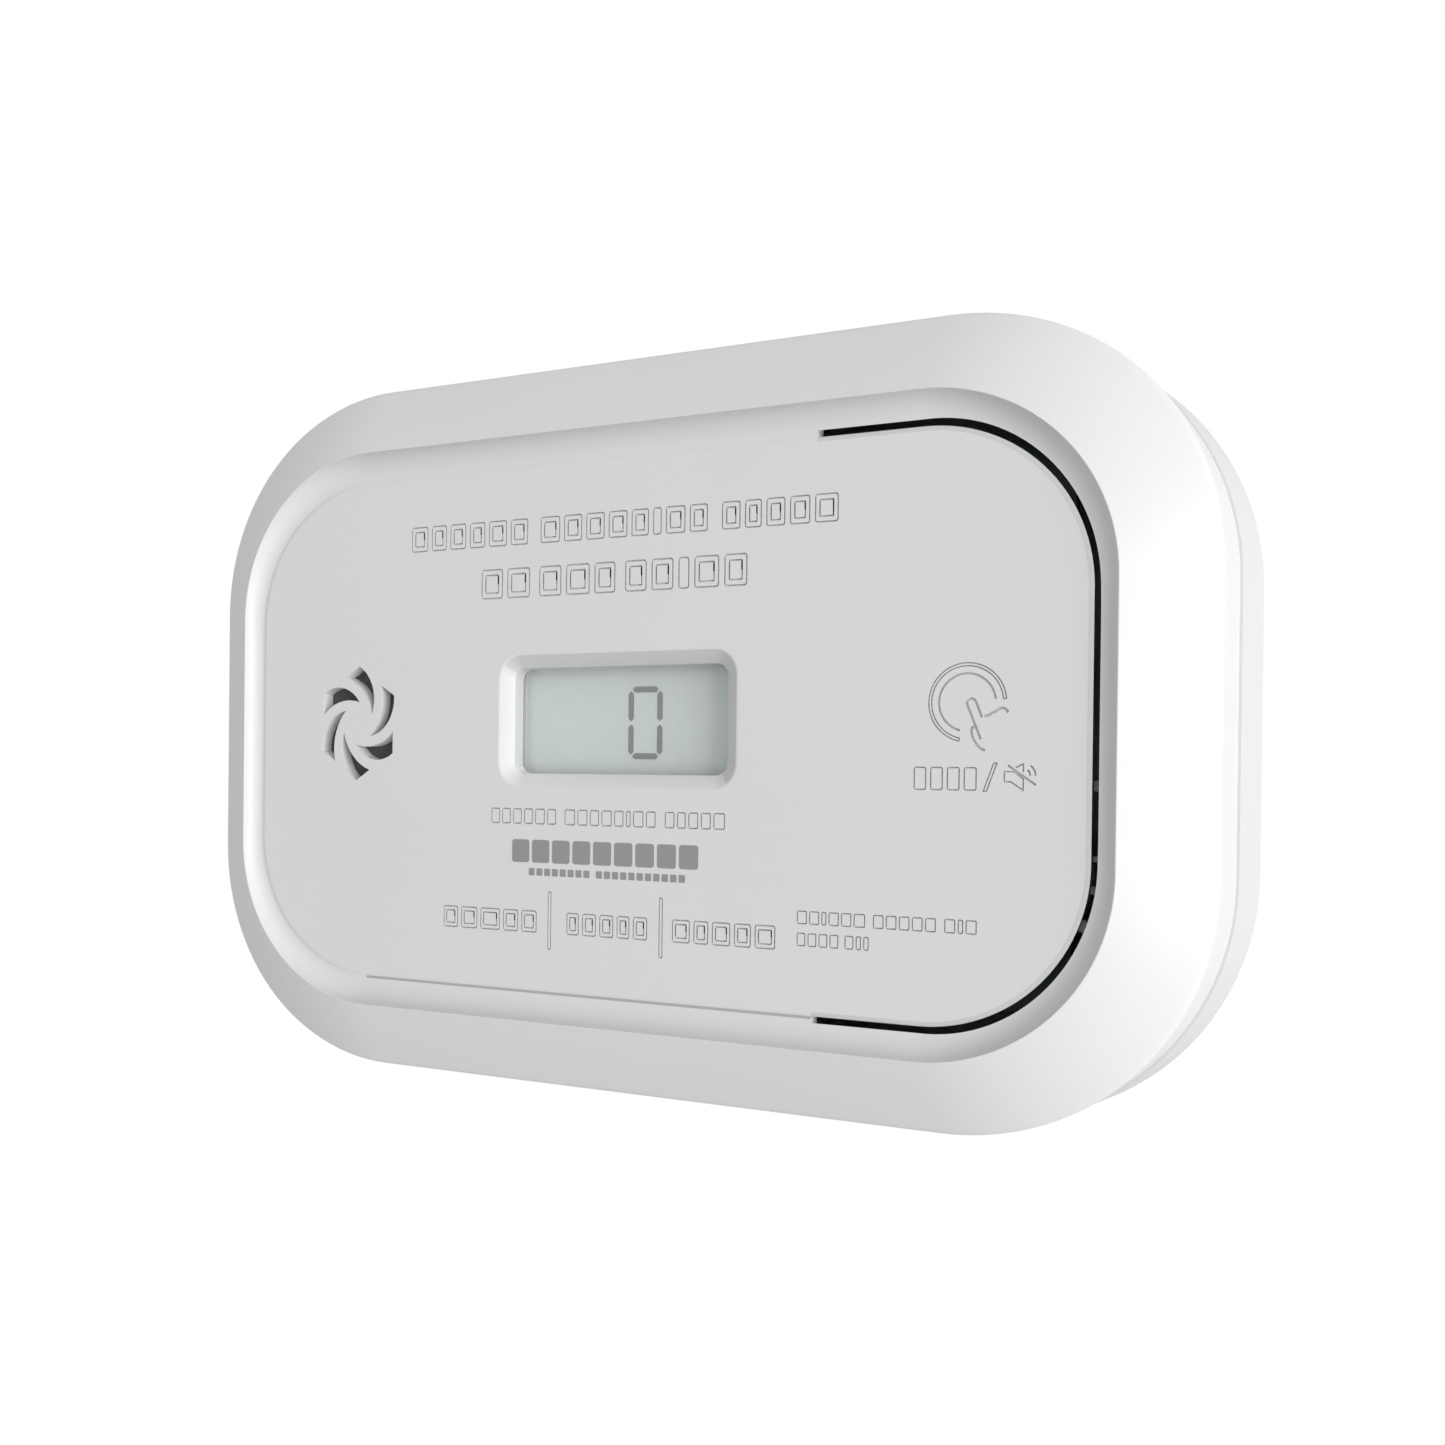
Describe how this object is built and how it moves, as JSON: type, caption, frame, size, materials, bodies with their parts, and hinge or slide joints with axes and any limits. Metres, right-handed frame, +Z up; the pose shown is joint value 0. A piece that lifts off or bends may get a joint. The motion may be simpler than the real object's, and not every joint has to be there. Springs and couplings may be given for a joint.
{
  "type": "carbon monoxide alarm",
  "caption": "Wall-mounted battery carbon monoxide alarm: rounded white case, sloping bezel, display window, swirl vent and a bending test panel; lifts off its wall bracket.",
  "frame": {"origin": "midpoint between the two wall screws, on the wall plane (the bracket's back face)", "axes": "+Z up the wall, +X to the right as seen from the front, +Y into the wall; the front faces -Y"},
  "size_m": [0.1416, 0.031, 0.097],
  "materials": {
    "case_plastic": "satin white moulding",
    "rear_plastic": "satin white moulding",
    "bracket_plastic": "matt white moulding",
    "window": "clear polished",
    "lcd": "reflective grey-green",
    "dark_plastic": "fine matt",
    "connector_rubber": "layered silicone",
    "board": "solder-mask green",
    "steel": "plated",
    "plunger_plastic": "smooth",
    "green_lens": "tinted epoxy",
    "amber_lens": "tinted epoxy",
    "red_lens": "tinted epoxy",
    "sensor_steel": "drawn can",
    "sensor_plastic": "matt ivory",
    "brass": "rolled sheet",
    "ceramic": "silvered ceramic",
    "foam": "closed-cell foam",
    "mesh": "fine woven dust cloth",
    "chip_black": "moulded epoxy",
    "capacitor_sleeve": "shrunk sleeve",
    "chip_tan": "ceramic body",
    "cell_jacket": "plain printed jacket"
  },
  "bodies": {
    "bracket": {"mounting_bracket": "bracket_plastic"},
    "alarm": {"rear_housing": "rear_plastic", "front_cover": "case_plastic", "display_window": "window", "lcd_cell": "lcd", "lcd_holder": "dark_plastic", "lcd_connector_strips": "connector_rubber", "circuit_board": "board", "switch_body": "steel", "power_led": "green_lens", "fault_led": "amber_lens", "alarm_led": "red_lens", "led_light_guide": "dark_plastic", "co_sensor_cell": "sensor_steel", "co_sensor_cap": "sensor_plastic", "sounder_chamber": "dark_plastic", "sounder_disc": "brass", "sounder_ceramic": "ceramic", "sounder_gasket": "foam", "vent_mesh": "mesh", "microcontroller": "chip_black", "boost_inductor": "chip_black", "filter_capacitors": "capacitor_sleeve", "chip_components": "chip_tan", "battery_upper": "cell_jacket", "battery_lower": "cell_jacket", "battery_springs": "steel", "battery_contacts": "steel", "housing_screws": "steel", "board_screws": "steel", "sounder_screws": "steel"},
    "battery_door": {"battery_door": "rear_plastic"},
    "test_panel": {"test_panel": "case_plastic"},
    "switch_plunger": {"switch_plunger": "plunger_plastic"}
  },
  "joints": [
    {"name": "lift_off", "type": "slide", "parent": "bracket", "child": "alarm", "axis": [0, 0, 1], "range_m": [0, 0.006]},
    {"name": "test_press", "type": "hinge", "parent": "alarm", "child": "test_panel", "pos_m": [0.0254, -0.0291, 0], "axis": [0, 0, 1], "range_deg": [0, 1.5], "stiffness_Nm_per_rad": 3},
    {"name": "switch_travel", "type": "slide", "parent": "alarm", "child": "switch_plunger", "axis": [0, 1, 0], "range_m": [0, 0.0005]},
    {"name": "door_hinge", "type": "hinge", "parent": "alarm", "child": "battery_door", "pos_m": [0, -0.0038, 0.0193], "axis": [1, 0, 0], "range_deg": [0, 100]}
  ],
  "couplings": [
    {"joint": "switch_travel", "follows": "test_press", "m_per_rad": 0.0186}
  ]
}
